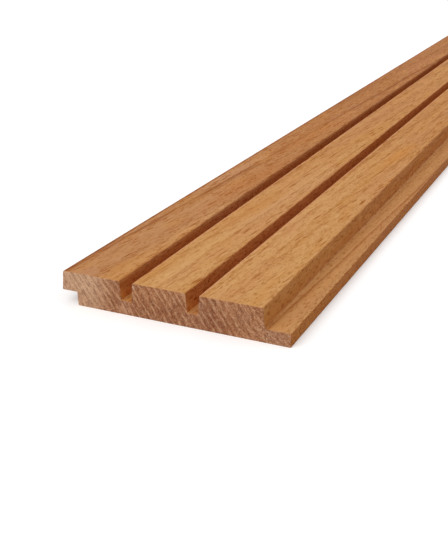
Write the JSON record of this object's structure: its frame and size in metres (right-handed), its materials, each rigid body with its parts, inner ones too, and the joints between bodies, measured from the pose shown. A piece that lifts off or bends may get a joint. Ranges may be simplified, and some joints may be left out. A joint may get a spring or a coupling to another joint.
{
  "type": "cladding board",
  "caption": "Hardwood wall cladding board with raised battens, narrow shadow grooves and lapped long edges, so that each board covers the lip of its neighbour.",
  "frame": {"origin": "centre of the back face, midway along the length and the width", "axes": "+X across the width towards the lip, +Y along the length, +Z out of the back towards the show face"},
  "size_m": [0.145, 1.85, 0.0205],
  "materials": {
    "hardwood": "planed golden-brown hardwood, satin to matt"
  },
  "bodies": {
    "root": {"cladding_board": "hardwood"}
  },
  "joints": []
}
